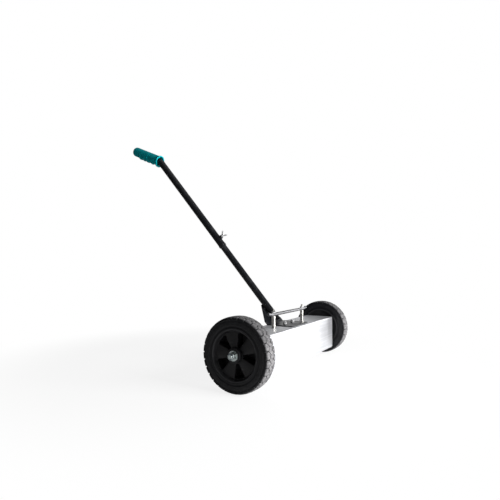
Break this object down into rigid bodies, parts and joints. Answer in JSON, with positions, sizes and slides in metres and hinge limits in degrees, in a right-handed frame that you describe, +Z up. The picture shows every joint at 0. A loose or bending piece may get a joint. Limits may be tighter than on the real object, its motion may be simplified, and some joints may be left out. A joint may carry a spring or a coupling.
{
  "type": "magnetic nail sweeper",
  "caption": "Wheeled magnetic sweeper: a stainless magnet box between two rubber-tyred wheels, with a pull-up release bar and a telescopic push handle with a soft grip.",
  "frame": {"origin": "on the floor, under the middle of the whole tool's outline, between the axle and the end of the grip", "axes": "+X runs along the axle to the right-hand wheel of someone pushing the tool from behind, -Y is the front, +Y points back to the operator, +Z is up"},
  "size_m": [0.716, 0.8223, 0.8481],
  "materials": {
    "brushed_stainless": "brushed stainless sheet, satin",
    "bright_steel_rod": "drawn bright steel, polished",
    "zinc_plated_steel": "bright zinc plating",
    "plain_steel": "mill-finish steel",
    "ferrite": "sintered ferrite, matt dark grey",
    "black_paint": "black powder coat, semi-gloss",
    "wheel_plastic": "black moulded polypropylene, matt",
    "tyre_rubber": "black solid rubber, dusty on the tread",
    "black_nylon": "black nylon",
    "nylon": "blue nylon locking ring",
    "teal_rubber": "soft teal rubber, textured"
  },
  "bodies": {
    "frame": {"housing_shell": "brushed_stainless", "bottom_plate": "brushed_stainless", "end_plate_left": "brushed_stainless", "end_plate_right": "brushed_stainless", "end_plate_screws": "zinc_plated_steel", "end_plate_weld_nuts": "zinc_plated_steel", "axle_bolt_left": "zinc_plated_steel", "axle_bolt_right": "zinc_plated_steel", "axle_lock_nuts": "zinc_plated_steel", "axle_inner_washers": "zinc_plated_steel", "axle_outer_washers": "zinc_plated_steel", "axle_end_nuts": "zinc_plated_steel", "axle_nut_inserts": "nylon", "rod_guides": "black_nylon", "handle_bracket": "black_paint", "bracket_bolts": "zinc_plated_steel", "bracket_washers": "zinc_plated_steel", "bracket_nuts": "zinc_plated_steel", "tube_welds": "black_paint", "lower_tube": "black_paint"},
    "left_wheel": {"wheel_hub_left": "wheel_plastic", "wheel_bush_left": "black_nylon", "tyre_left": "tyre_rubber"},
    "right_wheel": {"wheel_hub_right": "wheel_plastic", "wheel_bush_right": "black_nylon", "tyre_right": "tyre_rubber"},
    "magnet_lift": {"magnet_carrier": "plain_steel", "magnet_blocks": "ferrite", "lift_sockets": "plain_steel", "lift_rod_left": "bright_steel_rod", "lift_rod_right": "bright_steel_rod", "lift_bar": "bright_steel_rod", "lift_bar_nuts": "zinc_plated_steel"},
    "upper_handle": {"upper_tube": "black_paint", "clamp_boss": "black_paint", "grip": "teal_rubber"},
    "clamp_bolt": {"wing_bolt": "zinc_plated_steel"}
  },
  "joints": [
    {"name": "left_wheel_spin", "type": "hinge", "parent": "frame", "child": "left_wheel", "pos_m": [-0.3165, -0.31116, 0.1], "axis": [1, 0, 0], "continuous": true},
    {"name": "right_wheel_spin", "type": "hinge", "parent": "frame", "child": "right_wheel", "pos_m": [0.3165, -0.31116, 0.1], "axis": [1, 0, 0], "continuous": true},
    {"name": "magnet_release", "type": "slide", "parent": "frame", "child": "magnet_lift", "axis": [0, 0, 1], "range_m": [0, 0.045]},
    {"name": "handle_extend", "type": "slide", "parent": "frame", "child": "upper_handle", "axis": [0, 0.6561, 0.7547], "range_m": [-0.2, 0.18]},
    {"name": "wing_bolt_turn", "type": "hinge", "parent": "upper_handle", "child": "clamp_bolt", "pos_m": [0, -0.04537, 0.45095], "axis": [0, -0.7547, 0.6561], "range_deg": [0, 720]}
  ]
}
